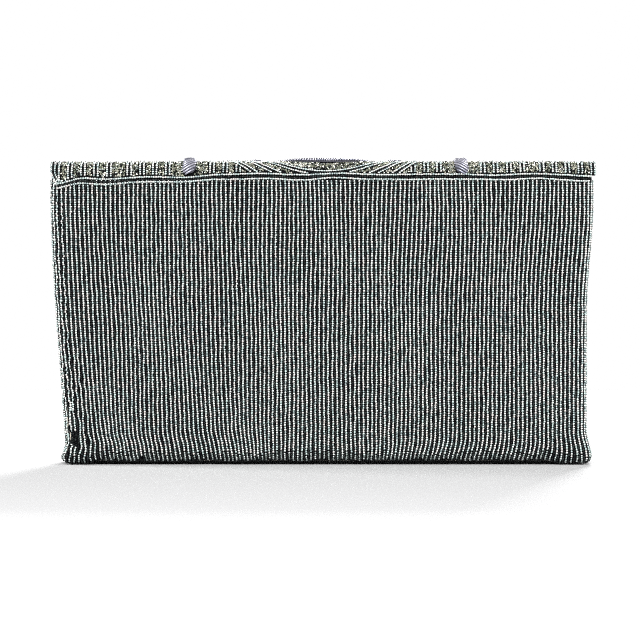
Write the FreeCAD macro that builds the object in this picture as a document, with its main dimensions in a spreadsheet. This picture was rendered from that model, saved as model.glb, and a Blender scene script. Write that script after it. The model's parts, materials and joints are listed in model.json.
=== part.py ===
"""Beaded evening clutch with a hinged flap, a magnetic snap and a slip pocket.

Millimetres, +Z up, the front (flap side) faces -Y, and the origin is on the floor
under the middle of the bag.  The back wall is upright; the front wall, and the
flap that hangs over it, lean back a little, so the front pieces are drawn upright
in a frame of their own and placed with that lean.
"""

import FreeCAD, Part
import Sketcher
import math
import os

from FreeCAD import Placement, Rotation, Vector

DRIVING = {
    # the whole bag
    "bag_width": 250.0,  # across the flap
    "bag_height": 139.0,
    "back_face": 16.35,  # outer face of the back wall
    "foot_face": -11.65,  # outer face of the front wall at the floor
    "front_lean": 2.6,  # degrees
    "seam_height": 130.6,  # where the flap is sewn to the back wall
    "mouth_height": 130.0,
    "corner_round": 4.0,  # where the base turns up
    # the walls' outlines
    "wall_top": 248.0,
    "wall_foot": 242.6,
    "side_curve": 1100.0,  # radius of the drawn-in side edges
    # layers
    "cloth": 1.6,  # beaded cloth
    "stiffener": 0.8,
    "lining": 0.5,
    "base_stiffener": 1.2,
    "base_board_margin": 4.6,  # from the base's edges to its board
    "base_lining_margin": 4.2,
    "slack": 1.0,  # room for the snap's bent prongs
    "fit_gap": 0.1,  # between pieces that are sewn or glued together
    "seam_gap": 0.3,
    "layer_inset": 117.0,  # half width of the inner layers
    "front_step": 1.0,  # the front's inner layers are narrower on each side
    "board_drop": 1.0,  # from a wall's top edge to its stiffener
    # gussets
    "gusset_edge": 121.0,
    "gusset_fold": 8.0,
    "gusset_cloth": 2.0,
    "gusset_lining": 0.6,
    # flap
    "fold_round": 7.0,
    "flap_gap": 3.8,  # front wall to flap lining
    "flap_low_width": 245.0,  # between the flap's lower corners
    "flap_tip": 45.0,  # height of the lowest point of the flap
    "flap_corner": 58.0,  # height of the flap's lower corners
    "flap_inset": 3.0,  # inner layers stop short of the edge
    # raised bands on the flap
    "band_width": 5.8,
    "band_height": 1.4,
    "band_lift": 0.15,
    "ring_reach": 38.0,
    "swag_reach": 62.0,
    "motif_centre": 50.0,  # along the flap from the seam
    "swag_start": 2.0,
    # strings of beads that finish the seam and the flap's edge
    "string_round": 0.5,
    "string_offset": 1.15,
    # slip pocket
    "pocket_width": 116.0,
    "pocket_height": 66.0,
    "pocket_foot": 38.0,
    "pocket_depth": 1.1,
    "pocket_hem": 1.6,
    "pocket_cloth": 0.5,
    "binding": 0.4,
    "binding_drop": 3.2,
    # magnetic snap
    "snap_height": 58.0,
    "cup_round": 7.0,
    "cup_height": 2.8,
    "cup_wall": 0.4,
    "cup_hole": 3.8,
    "cup_lip": 1.9,  # how far the cup's rim turns down round its hole
    "magnet_out": 6.4,
    "magnet_in": 4.4,
    "magnet_height": 1.7,
    "plate": 0.4,
    "plate_round": 6.4,
    "washer_round": 6.5,
    "prong_out": 4.0,
    "prong_width": 2.0,
    "prong_bend": 1.6,
    "slot_width": 2.5,
    "slot_height": 1.0,
    "flange_round": 6.0,
    "flange": 0.6,
    "stud_round": 2.5,
    "stud_reach": 1.2,
}


# sections along the raised bands: the ring, the swag's straight rises and its arc
RING_SECTIONS, RISE_SECTIONS, ARC_SECTIONS = 96, 32, 40


class Size:
    """A length that carries its number and the sheet expression that gives it."""

    def __init__(self, value, text):
        self.value = value
        self.text = text

    def _join(self, sign, other, value):
        other_text = other.text if isinstance(other, Size) else repr(other)
        return Size(value, f"({self.text} {sign} {other_text})")

    def __add__(self, other):
        return self._join("+", other, self.value + number(other))

    def __sub__(self, other):
        return self._join("-", other, self.value - number(other))

    def __mul__(self, other):
        return self._join("*", other, self.value * number(other))

    def __truediv__(self, other):
        return self._join("/", other, self.value / number(other))

    def __neg__(self):
        return Size(-self.value, f"(0 - {self.text})")


def number(size):
    return size.value if isinstance(size, Size) else size


def fill_sheet(doc):
    sheet = doc.addObject("Spreadsheet::Sheet", "Sizes")
    for row, (name, value) in enumerate(DRIVING.items(), 1):
        sheet.set(f"A{row}", name)
        sheet.set(f"B{row}", str(value))
        sheet.setAlias(f"B{row}", name)
    doc.recompute()
    return {name: Size(value, f"Sizes.{name}") for name, value in DRIVING.items()}


doc = FreeCAD.newDocument("Clutch")
S = fill_sheet(doc)
LEAN = math.radians(DRIVING["front_lean"])
SLOPE = math.tan(LEAN)
UP = Rotation()
LEANING = Rotation(Vector(1, 0, 0), -DRIVING["front_lean"])
FRONT_FOOT = Vector(0, DRIVING["foot_face"], 0)
kept = []  # (object, its file's name)


# ---------------------------------------------------------------- features


def keep(piece, label):
    piece.Label = label
    kept.append((piece, label))
    return piece


def new_body(label):
    return keep(doc.addObject("PartDesign::Body", label), label)


def bind(feature, prop, size):
    """Sets a feature's size and binds it to the sheet."""
    setattr(feature, prop, number(size))
    if isinstance(size, Size):
        feature.setExpression(prop, size.text)


def new_sketch(body, role, name, offset=None):
    """A sketch on one of the body's origin planes, moved along its normal by offset."""
    sketch = body.newObject("Sketcher::SketchObject", name)
    plane = next(p for p in body.Origin.OriginFeatures if p.Role == role)
    sketch.AttachmentSupport = [(plane, "")]
    sketch.MapMode = "FlatFace"
    if offset is not None:
        sketch.AttachmentOffset = Placement(Vector(0, 0, number(offset)), UP)
        if isinstance(offset, Size):
            sketch.setExpression(".AttachmentOffset.Base.z", offset.text)
    return sketch


def hold(sketch, constraint, size):
    """Adds a constraint whose value is bound to the sheet."""
    index = sketch.addConstraint(constraint)
    if isinstance(size, Size):
        sketch.setExpression(f"Constraints[{index}]", size.text)


def hold_point(sketch, edge, end, u, v):
    hold(sketch, Sketcher.Constraint("DistanceX", -1, 1, edge, end, number(u)), u)
    hold(sketch, Sketcher.Constraint("DistanceY", -1, 1, edge, end, number(v)), v)


def arc_between(start, end, radius, turns_left):
    """The short arc of that radius from start to end."""
    chord = end - start
    middle = (start + end) / 2
    rise = math.sqrt(max(radius**2 - (chord.Length / 2) ** 2, 0))
    side = Vector(-chord.y, chord.x, 0).normalize()
    centre = middle + side * (rise if turns_left else -rise)
    first, last = (start, end) if turns_left else (end, start)
    angles = [math.atan2(p.y - centre.y, p.x - centre.x) for p in (first, last)]
    circle = Part.Circle(centre, Vector(0, 0, 1), radius)
    return Part.ArcOfCircle(circle, angles[0], angles[1])


def draw(sketch, steps):
    """A closed outline.  A step is (u, v) for a line to that point from the one before,
    or (u, v, radius, turns_left) for an arc to it."""
    points = [Vector(number(s[0]), number(s[1]), 0) for s in steps]
    first_edge = sketch.GeometryCount
    for i, step in enumerate(steps):
        start, end = points[i - 1], points[i]
        is_arc = len(step) == 4
        if is_arc:
            edge = sketch.addGeometry(
                arc_between(start, end, number(step[2]), step[3]), False
            )
        else:
            edge = sketch.addGeometry(Part.LineSegment(start, end), False)
        end_vertex = 1 if is_arc and not step[3] else 2
        hold_point(sketch, edge, end_vertex, step[0], step[1])
        if is_arc:
            hold(sketch, Sketcher.Constraint("Radius", edge, number(step[2])), step[2])
    count = len(steps)
    for i, step in enumerate(steps):
        edge, before = first_edge + i, first_edge + (i - 1) % count
        start_vertex = 2 if len(step) == 4 and not step[3] else 1
        was = steps[i - 1]
        before_end = 1 if len(was) == 4 and not was[3] else 2
        sketch.addConstraint(
            Sketcher.Constraint("Coincident", before, before_end, edge, start_vertex)
        )


def box_steps(left, right, low, high):
    return [(left, low), (right, low), (right, high), (left, high)]


def draw_circle(sketch, radius, v=0.0):
    circle = Part.Circle(Vector(0, number(v), 0), Vector(0, 0, 1), number(radius))
    edge = sketch.addGeometry(circle, False)
    hold(sketch, Sketcher.Constraint("Radius", edge, number(radius)), radius)
    sketch.addConstraint(Sketcher.Constraint("PointOnObject", edge, 3, -2))
    hold(sketch, Sketcher.Constraint("DistanceY", -1, 1, edge, 3, number(v)), v)


def pad(body, sketch, length, both_ways=False, reversed_way=False):
    feature = body.newObject("PartDesign::Pad", f"{body.Name}_pad")
    feature.Profile = sketch
    bind(feature, "Length", length)
    feature.Midplane = both_ways
    feature.Reversed = reversed_way
    doc.recompute()
    return feature


def cut_through(body, sketch):
    """A pocket both ways through the body, which has to take material away."""
    before = body.Shape.Volume
    feature = body.newObject("PartDesign::Pocket", f"{body.Name}_cut")
    feature.Profile = sketch
    feature.Type = "ThroughAll"
    feature.Midplane = True
    doc.recompute()
    if body.Shape.Volume >= before:
        raise RuntimeError(f"{body.Label}: the pocket cut nothing")
    return feature


def wall_steps(half_top, half_foot, low, high):
    """A wall's outline: straight top and foot, and side edges drawn in by an arc."""
    return [
        (-half_foot, low),
        (half_foot, low),
        (half_top, high, S["side_curve"], False),
        (-half_top, high),
        (-half_foot, low, S["side_curve"], False),
    ][1:]


def draw_slots(sketch, height):
    """Two slots for a snap's prongs, one each side of the middle."""
    half_high = S["slot_height"] / 2
    outer = S["prong_out"] + S["slot_width"] / 2
    inner = S["prong_out"] - S["slot_width"] / 2
    for left, right in ((inner, outer), (-outer, -inner)):
        draw(sketch, box_steps(left, right, -half_high + height, half_high + height))


def flat_piece(label, steps, thickness, place, slots_at=None):
    """A flat piece drawn in the XZ plane, which grows towards +Y from its place."""
    body = new_body(label)
    sketch = new_sketch(body, "XZ_Plane", f"{label}_outline")
    draw(sketch, steps)
    if slots_at is not None:
        draw_slots(sketch, slots_at)
    pad(body, sketch, thickness, reversed_way=True)
    body.Placement = place
    return body


def upright(y):
    return Placement(Vector(0, number(y), 0), UP)


def leaning(depth):
    """The front wall's frame: depth is into the bag from the wall's outer face."""
    return Placement(FRONT_FOOT + LEANING * Vector(0, number(depth), 0), LEANING)


# ---------------------------------------------------------------- walls and base


def make_walls():
    half_top, half_foot = S["wall_top"] / 2, S["wall_foot"] / 2
    low = S["corner_round"] + S["fit_gap"]
    high, back = S["seam_height"], S["back_face"]
    inset = S["layer_inset"]
    flat_piece(
        "back_panel",
        wall_steps(half_top, half_foot, low, high),
        S["cloth"],
        upright(back - S["cloth"]),
    )
    board_depth = S["cloth"] + S["stiffener"]
    flat_piece(
        "back_board",
        box_steps(-inset, inset, low, high - S["board_drop"]),
        S["stiffener"],
        upright(back - board_depth),
    )
    flat_piece(
        "back_lining",
        box_steps(-inset, inset, low, high),
        S["lining"],
        upright(back - board_depth - S["lining"]),
    )
    mouth, snap = S["mouth_height"], S["snap_height"]
    flat_piece(
        "front_panel",
        wall_steps(half_top, half_foot, low + S["fit_gap"], mouth),
        S["cloth"],
        leaning(0),
        slots_at=snap,
    )
    front_inset = inset - S["front_step"]
    front_low = low + S["fit_gap"] * 2
    flat_piece(
        "front_board",
        box_steps(-front_inset, front_inset, front_low, mouth - S["board_drop"]),
        S["stiffener"],
        leaning(S["cloth"]),
        slots_at=snap,
    )
    flat_piece(
        "front_lining",
        box_steps(-front_inset, front_inset, front_low, mouth),
        S["lining"],
        leaning(board_depth + S["slack"]),
    )


def make_mouth_binding():
    """A folded strip over the front wall's raw top edge, drawn in section."""
    body = new_body("mouth_binding")
    sketch = new_sketch(body, "YZ_Plane", "mouth_binding_section")
    wall = S["cloth"] + S["stiffener"] + S["slack"] + S["lining"]
    strip, top = S["binding"], S["mouth_height"] + S["fit_gap"]
    low = S["mouth_height"] - S["binding_drop"]
    draw(
        sketch,
        [
            (-strip, low),
            (0.0, low),
            (0.0, top),
            (wall, top),
            (wall, low),
            (wall + strip, low),
            (wall + strip, top + strip),
            (-strip, top + strip),
        ],
    )
    pad(body, sketch, (S["layer_inset"] - S["front_step"] * 2) * 2, both_ways=True)
    body.Placement = leaning(0)


def make_base():
    body = new_body("base_panel")
    sketch = new_sketch(body, "YZ_Plane", "base_panel_section")
    round_out = S["corner_round"]
    round_in = round_out - S["cloth"]
    back, cloth = S["back_face"], S["cloth"]
    front = S["foot_face"] + SLOPE * DRIVING["corner_round"]
    draw(
        sketch,
        [
            (front, round_out),
            (front + round_out, 0.0, round_out, True),
            (back - round_out, 0.0),
            (back, round_out, round_out, True),
            (back - cloth, round_out),
            (back - round_out, cloth, round_in, False),
            (front + round_out, cloth),
            (front + cloth, round_out, round_in, False),
        ],
    )
    pad(body, sketch, S["wall_foot"], both_ways=True)

    depth = S["back_face"] - S["foot_face"]
    plates = {
        "base_board": (S["cloth"], S["base_stiffener"]),
        "base_lining": (S["cloth"] + S["base_stiffener"], S["lining"]),
    }
    for label, (height, thickness) in plates.items():
        margin = S[f"{label}_margin"]
        plate = keep(doc.addObject("Part::Box", label), label)
        bind(plate, "Length", S["layer_inset"] * 2)
        bind(plate, "Width", depth - margin * 2)
        bind(plate, "Height", thickness)
        front = number(S["foot_face"] + margin)
        corner = Vector(-number(S["layer_inset"]), front, number(height))
        plate.Placement = Placement(corner, UP)


def make_gussets():
    """Sides folded inwards in a V, wider at the foot than at the mouth."""
    layers = {
        "gusset": (S["gusset_edge"], S["gusset_cloth"]),
        "gusset_lining": (
            S["gusset_edge"] - S["gusset_cloth"] - 0.02,
            S["gusset_lining"],
        ),
    }
    low, high = S["corner_round"] + 0.15, S["mouth_height"] - 0.5
    for side, name in ((1, "right"), (-1, "left")):
        for layer, (edge, thickness) in layers.items():
            body = new_body(f"{layer}_{name}")
            sections = []
            for level in (low, high):
                sketch = new_sketch(body, "XY_Plane", f"{layer}_section", level)
                front = S["foot_face"] + S["cloth"] + 0.05 + level * SLOPE
                back = S["back_face"] - S["cloth"]
                middle = (front + back) / 2
                fold = edge - S["gusset_fold"]
                corners = [
                    (edge, front),
                    (fold, middle),
                    (edge, back),
                    (edge - thickness, back),
                    (fold - thickness, middle),
                    (edge - thickness, front),
                ]
                if side < 0:
                    corners = [(-u, v) for u, v in corners]
                draw(sketch, corners)
                sections.append(sketch)
            loft = body.newObject("PartDesign::AdditiveLoft", f"{body.Name}_loft")
            loft.Profile = sections[0]
            loft.Sections = sections[1:]
            loft.Ruled = True
            doc.recompute()


def make_pocket():
    """A shallow pocket on the back lining, hemmed down its sides and foot."""
    half, low = S["pocket_width"] / 2, S["pocket_foot"]
    high = low + S["pocket_height"]
    face = S["back_face"] - S["cloth"] - S["stiffener"] - S["lining"]
    body = flat_piece(
        "slip_pocket",
        box_steps(-half, half, low, high),
        S["pocket_depth"],
        upright(face - S["pocket_depth"]),
    )
    room = new_sketch(body, "XZ_Plane", "pocket_room", -S["pocket_depth"])
    hem = S["pocket_hem"]
    draw(room, box_steps(-half + hem, half - hem, low + hem, high + hem))
    before = body.Shape.Volume
    pocket = body.newObject("PartDesign::Pocket", "pocket_room_cut")
    pocket.Profile = room
    bind(pocket, "Length", S["pocket_depth"] - S["pocket_cloth"])
    doc.recompute()
    if body.Shape.Volume >= before:
        pocket.Reversed = True
        doc.recompute()
    if body.Shape.Volume >= before:
        raise RuntimeError("the slip pocket has no room in it")
    flat_piece(
        "pocket_binding",
        box_steps(-half, half, high - S["binding_drop"], high),
        S["binding"],
        upright(face - S["pocket_depth"] - S["binding"]),
    )


# ---------------------------------------------------------------- flap


def flap_face(depth):
    """The flap's outer face where the fold meets the leaning front, less depth."""
    wall = S["foot_face"] + S["seam_height"] * SLOPE
    layers = S["cloth"] + S["slack"] + S["stiffener"] + S["lining"]
    return wall - S["flap_gap"] - layers + depth


def flap_layer(label, depth, thickness, inset, slots=False):
    """One layer of the flap: up from the seam, over the mouth and down the front.
    depth is in from the flap's outer face, and inset from its side and lower edges."""
    body = new_body(label)
    section = new_sketch(body, "YZ_Plane", f"{label}_section")
    seam = S["seam_height"] + S["seam_gap"]
    fold = S["bag_height"] - S["fold_round"]
    tip = S["flap_tip"] + inset
    back, top, front = S["back_face"] - depth, S["bag_height"] - depth, flap_face(depth)
    r_out, r_in = S["fold_round"] - depth, S["fold_round"] - depth - thickness
    run = (fold - tip) * SLOPE
    draw(
        section,
        [
            (back, seam),
            (back, fold),
            (back - r_out, top, r_out, True),
            (front + r_out, top),
            (front, fold, r_out, True),
            (front - run, tip),
            (front - run + thickness, tip),
            (front + thickness, fold),
            (front + r_out, top - thickness, r_in, False),
            (back - r_out, top - thickness),
            (back - thickness, fold, r_in, False),
            (back - thickness, seam),
        ],
    )
    pad(body, section, S["bag_width"] + 4.0, both_ways=True)
    trim_flap(body, label, inset)
    if slots:
        prongs = new_sketch(body, "XZ_Plane", f"{label}_slots")
        draw_slots(prongs, S["snap_height"])
        cut_through(body, prongs)
    return body


def trim_flap(body, label, inset):
    """Cuts a flap layer's drawn-in sides and its bowed lower edge."""
    edge = new_sketch(body, "XZ_Plane", f"{label}_edge")
    half_top, half_low = S["bag_width"] / 2 - inset, S["flap_low_width"] / 2 - inset
    tip, corner = S["flap_tip"] + inset, S["flap_corner"] + inset
    beyond, above = S["bag_width"] / 2 + 5.0, S["bag_height"] + 5.0
    bow = flap_bow(number(half_low))
    sides = S["side_curve"]
    draw(
        edge,
        [
            (-beyond, tip - 5.0),
            (beyond, tip - 5.0),
            (beyond, above),
            (half_top, above),
            (half_low, corner, sides, True),
            (0.0, tip, bow, False),
            (-half_low, corner, bow, False),
            (-half_top, above, sides, True),
            (-beyond, above),
        ],
    )
    cut_through(body, edge)


def flap_bow(half):
    """The radius of a lower edge that rises to the corners, half its width away."""
    rise = DRIVING["flap_corner"] - DRIVING["flap_tip"]
    return (half**2 + rise**2) / (2 * rise)


def make_flap():
    depth = S["cloth"] + S["slack"]
    flap_layer("flap_panel", 0.0, S["cloth"], 0.0)
    flap_layer(
        "flap_interlining", depth, S["stiffener"], S["flap_inset"], slots=True
    )
    flap_layer(
        "flap_lining",
        depth + S["stiffener"],
        S["lining"],
        S["flap_inset"] / 2,
        slots=True,
    )


def flap_run():
    """The lengths of the flap's outer face: back rise, quarter turn and level top."""
    radius = DRIVING["fold_round"]
    rise = DRIVING["bag_height"] - radius - DRIVING["seam_height"]
    level = DRIVING["back_face"] - number(flap_face(0)) - 2 * radius
    return rise, math.pi / 2 * radius, level


def on_flap(x, along, lift):
    """The point at x, along the flap's outer face from the seam, lifted off it."""
    radius, out = DRIVING["fold_round"], DRIVING["fold_round"] + lift
    back, front = DRIVING["back_face"], number(flap_face(0))
    fold = DRIVING["bag_height"] - radius
    rise, quarter, level = flap_run()
    along -= rise
    if along < 0:
        return Vector(x, back + lift, fold + along)
    if along < quarter:
        turn = along / radius
        y, z = out * math.cos(turn), out * math.sin(turn)
        return Vector(x, back - radius + y, fold + z)
    along -= quarter
    if along < level:
        return Vector(x, back - radius - along, fold + out)
    along -= level
    if along < quarter:
        turn = along / radius
        y, z = out * math.sin(turn), out * math.cos(turn)
        return Vector(x, front + radius - y, fold + z)
    along -= quarter
    y = front - along * math.sin(LEAN) - lift * math.cos(LEAN)
    return Vector(x, y, fold - along * math.cos(LEAN) + lift * math.sin(LEAN))


def band_section(x, along, out_x, out_along):
    """A low dome standing on the flap, flat side down.  (out_x, out_along) is the
    direction across the band, on the flap."""
    width, height, lift = (DRIVING[f"band_{n}"] for n in ("width", "height", "lift"))
    flat = [(i / 4 - 0.5, 0.0) for i in range(4)]
    dome = [(math.cos(t) / 2, math.sin(t)) for t in (math.pi * i / 6 for i in range(6))]
    points = []
    for across, up in flat + dome:
        step = across * width
        points.append(on_flap(x + out_x * step, along + out_along * step, lift + up * height))
    return Part.makePolygon(points + points[:1])


def band(label, route, closed):
    """A raised band through sections set square to its route."""
    sections = [band_section(*step) for step in route]
    piece = doc.addObject("Part::Feature", label)
    piece.Shape = Part.makeLoft(sections, True, True, closed)
    return keep(piece, label)


def make_raised_bands():
    """The ring and the swag round it, both lying on the flap's beads."""
    centre, ring, swag = (
        DRIVING[n] for n in ("motif_centre", "ring_reach", "swag_reach")
    )
    turns = [2 * math.pi * i / RING_SECTIONS for i in range(RING_SECTIONS)]
    band(
        "trim_ring",
        [
            (ring * math.sin(t), centre - ring * math.cos(t), math.sin(t), -math.cos(t))
            for t in turns
        ],
        True,
    )
    start = DRIVING["swag_start"]
    step = (centre - start) / RISE_SECTIONS
    rises = [start + step * i for i in range(RISE_SECTIONS)]
    arc = [math.pi * i / ARC_SECTIONS for i in range(ARC_SECTIONS + 1)]
    route = [(-swag, v, -1.0, 0.0) for v in rises]
    route += [
        (-swag * math.cos(t), centre + swag * math.sin(t), -math.cos(t), math.sin(t))
        for t in arc
    ]
    route += [(swag, v, 1.0, 0.0) for v in reversed(rises)]
    band("trim_swag", route, False)


def make_strings():
    """Strings of beads: two along the hinge seam and one round the flap's edge."""
    radius = DRIVING["string_round"]
    half = DRIVING["wall_top"] / 2 - 1.0
    hinge = DRIVING["seam_height"] + DRIVING["seam_gap"] / 2
    lift = radius + 0.02
    for label, side in (("seam_string", -1), ("flap_string", 1)):
        string = keep(doc.addObject("Part::Cylinder", label), label)
        bind(string, "Radius", S["string_round"])
        string.setExpression("Height", "Sizes.wall_top - 2")
        at = Vector(-half, DRIVING["back_face"] + lift, hinge + side * DRIVING["string_offset"])
        string.Placement = Placement(at, Rotation(Vector(0, 1, 0), 90))

    half_low = DRIVING["flap_low_width"] / 2
    bow = flap_bow(half_low)
    fold = DRIVING["bag_height"] - DRIVING["fold_round"]
    rise, quarter, level = flap_run()
    to_tip = rise + 2 * quarter + level + (fold - DRIVING["flap_tip"]) / math.cos(LEAN)
    lowest = on_flap(0.0, to_tip - 1.0, lift)
    up = Vector(0, math.sin(LEAN), math.cos(LEAN))
    across = Vector(1, 0, 0)
    out, centre = across.cross(up), lowest + up * bow
    turn = math.degrees(math.asin((half_low - 1.5) / bow))
    section = Part.Face(Part.Wire(Part.Circle(lowest, across, radius).toShape()))
    section.rotate(centre, out, -turn)
    piece = doc.addObject("Part::Feature", "edge_string")
    piece.Shape = section.revolve(centre, out, 2 * turn)
    keep(piece, "edge_string")


# ---------------------------------------------------------------- magnetic snap


def snap_frame(depth):
    """The front wall's frame at the snap, with +Z of the piece pointing out of the
    bag, along the snap's axis."""
    out = LEANING.multiply(Rotation(Vector(1, 0, 0), 90))
    at = Vector(0, number(depth), DRIVING["snap_height"])
    return Placement(FRONT_FOOT + LEANING * at, out)


def turned(label, steps, place):
    """A round piece: a section drawn in the XZ plane and turned about Z."""
    body = new_body(label)
    sketch = new_sketch(body, "XZ_Plane", f"{label}_section")
    draw(sketch, steps)
    feature = body.newObject("PartDesign::Revolution", f"{label}_turned")
    feature.Profile = sketch
    feature.ReferenceAxis = (sketch, ["V_Axis"])
    feature.Angle = 360.0
    doc.recompute()
    body.Placement = place
    return body


def prong(side, low, high, bend_at):
    """A strip through the layers, bent outwards at its end."""
    width, strip = DRIVING["prong_width"], DRIVING["plate"]
    at, bend = DRIVING["prong_out"], DRIVING["prong_bend"]
    start = at - width / 2 if side > 0 else -at - width / 2
    leg = Part.makeBox(width, strip, high - low, Vector(start, -strip / 2, low))
    tip = Part.makeBox(
        width, bend + strip, strip, Vector(start, -strip / 2, bend_at - strip)
    )
    return leg.fuse(tip)


def with_prongs(label, body, reach):
    """Joins two bent prongs to a turned piece; reach is how far they go back."""
    strip = DRIVING["plate"]
    shape = body.Shape.copy()
    shape.Placement = Placement()
    for side in (1, -1):
        shape = shape.fuse(prong(side, -reach - strip, 0.0, -reach))
    piece = doc.addObject("Part::Feature", label)
    piece.Shape = shape.removeSplitter()
    piece.Placement = body.Placement
    return keep(piece, label)


def washer(label, place):
    """A round plate with a slot for each prong."""
    body = new_body(label)
    sketch = new_sketch(body, "XY_Plane", f"{label}_outline")
    draw_circle(sketch, S["washer_round"])
    draw_slots(sketch, 0.0)
    pad(body, sketch, S["plate"])
    body.Placement = place


def scaffold(body):
    """Takes a body off the list of kept pieces: it is only part of another."""
    kept.remove((body, body.Label))
    body.Label = f"{body.Label}_core"
    return body


def make_snap_socket():
    wall, height = S["cup_wall"], S["cup_height"]
    outer, hole = S["cup_round"], S["cup_hole"]
    turned(
        "snap_cup",
        [
            (outer - wall, 0.0),
            (outer, 0.0),
            (outer, height),
            (hole, height),
            (hole, height - S["cup_lip"]),
            (hole + wall, height - S["cup_lip"]),
            (hole + wall, height - wall),
            (outer - wall, height - wall),
        ],
        snap_frame(0),
    )
    seat = S["plate"] + S["fit_gap"]
    turned(
        "snap_magnet",
        [
            (S["magnet_in"], seat),
            (S["magnet_out"], seat),
            (S["magnet_out"], seat + S["magnet_height"]),
            (S["magnet_in"], seat + S["magnet_height"]),
        ],
        snap_frame(0),
    )
    core = turned(
        "socket_plate",
        [
            (0.0, 0.0),
            (S["plate_round"], 0.0),
            (S["plate_round"], S["plate"]),
            (0.0, S["plate"]),
        ],
        snap_frame(0),
    )
    scaffold(core)
    through = DRIVING["cloth"] + DRIVING["stiffener"] + DRIVING["plate"]
    with_prongs("socket_plate", core, through)
    washer("socket_washer", snap_frame(S["cloth"] + S["stiffener"] + S["plate"]))


def make_snap_stud():
    """The flap's half, in the same frame but facing the bag."""
    back_to_front = Rotation(Vector(1, 0, 0), 180)
    face = snap_frame(-S["flap_gap"])
    place = Placement(face.Base, face.Rotation.multiply(back_to_front))
    flange, stud = S["flange"], S["stud_round"]
    core = turned(
        "snap_stud",
        [
            (0.0, 0.0),
            (S["flange_round"], 0.0),
            (S["flange_round"], flange),
            (stud, flange),
            (stud, flange + S["stud_reach"] - 0.3),
            (stud - 0.3, flange + S["stud_reach"]),
            (0.0, flange + S["stud_reach"]),
        ],
        place,
    )
    scaffold(core)
    layers = DRIVING["lining"] + DRIVING["stiffener"] + DRIVING["fit_gap"]
    with_prongs("snap_stud", core, layers + DRIVING["plate"])
    washer("stud_washer", snap_frame(-S["flap_gap"] - layers))


# ---------------------------------------------------------------- build and write


def check_document():
    for thing in doc.Objects:
        if "Invalid" in thing.State or "Error" in thing.State:
            raise RuntimeError(f"{thing.Label} is {thing.State}")
    for piece, label in kept:
        shape = piece.Shape
        if shape.isNull() or not shape.isValid() or not shape.Solids:
            raise RuntimeError(f"{label} has no valid solid")


def write_parts():
    os.makedirs("parts", exist_ok=True)
    for piece, label in kept:
        piece.Shape.exportStep(f"parts/{label}.step")
        box = piece.Shape.BoundBox
        print(
            f"{label:22s} {piece.Shape.Volume:10.1f} mm3"
            f"  x {box.XMin:7.2f} {box.XMax:7.2f}"
            f"  y {box.YMin:7.2f} {box.YMax:7.2f}"
            f"  z {box.ZMin:7.2f} {box.ZMax:7.2f}"
        )


make_walls()
make_mouth_binding()
make_base()
make_gussets()
make_pocket()
make_flap()
make_raised_bands()
make_strings()
make_snap_socket()
make_snap_stud()
doc.recompute()
check_document()
write_parts()
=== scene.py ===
"""Looks for the beaded evening clutch.

Every bead is real mesh.  Strings of beads are sewn along paths drawn on curved
sheets: a sheet turns (across, along, lift) into a point of the bag, so one set of
functions covers the walls, the sides and the flap.  Metres, in the CAD frame.
"""

import json
import math
from itertools import combinations

import bpy
import numpy as np
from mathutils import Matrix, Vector


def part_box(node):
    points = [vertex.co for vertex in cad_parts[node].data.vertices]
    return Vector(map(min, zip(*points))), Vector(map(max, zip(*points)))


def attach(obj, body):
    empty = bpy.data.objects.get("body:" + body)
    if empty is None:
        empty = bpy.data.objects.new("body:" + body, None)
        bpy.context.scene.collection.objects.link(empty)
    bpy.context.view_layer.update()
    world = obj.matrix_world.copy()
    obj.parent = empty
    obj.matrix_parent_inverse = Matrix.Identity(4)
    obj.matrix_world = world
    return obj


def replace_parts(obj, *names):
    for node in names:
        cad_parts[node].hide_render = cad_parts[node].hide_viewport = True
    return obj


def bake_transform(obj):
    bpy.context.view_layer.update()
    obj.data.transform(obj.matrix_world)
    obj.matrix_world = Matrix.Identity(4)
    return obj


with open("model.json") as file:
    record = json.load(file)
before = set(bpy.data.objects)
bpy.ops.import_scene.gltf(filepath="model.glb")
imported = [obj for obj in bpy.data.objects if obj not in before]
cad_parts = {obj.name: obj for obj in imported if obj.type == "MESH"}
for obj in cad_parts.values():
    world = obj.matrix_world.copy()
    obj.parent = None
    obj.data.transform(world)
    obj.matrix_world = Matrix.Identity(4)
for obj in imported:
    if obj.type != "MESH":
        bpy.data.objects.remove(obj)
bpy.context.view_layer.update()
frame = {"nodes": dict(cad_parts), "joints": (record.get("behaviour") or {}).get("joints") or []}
rng = np.random.default_rng(7)

MM = 0.001
LEAN = math.radians(2.6)  # the front wall and the flap lean back

# -------- sizes from the frame

back_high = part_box("back_panel")[1]
base_low, base_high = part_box("base_panel")
front_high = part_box("front_panel")[1]
flap_low, flap_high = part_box("flap_panel")
BACK = back_high.y  # outer face of the back wall
CORNER = base_high.z  # radius where the base turns up
TOP = flap_high.z
FOLD_ROUND = 7 * MM
FOLD = TOP - FOLD_ROUND  # where the flap starts to turn over
HINGE = Vector(frame["joints"][0]["pos_m"])
SEAM = HINGE.z
FLAP_FRONT = flap_low.y + (FOLD - flap_low.z) * math.tan(LEAN)
MOUTH = front_high.z
WALL_HALF = back_high.x
FLAP_HALF = flap_high.x

# -------- sizes of the beadwork

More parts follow.
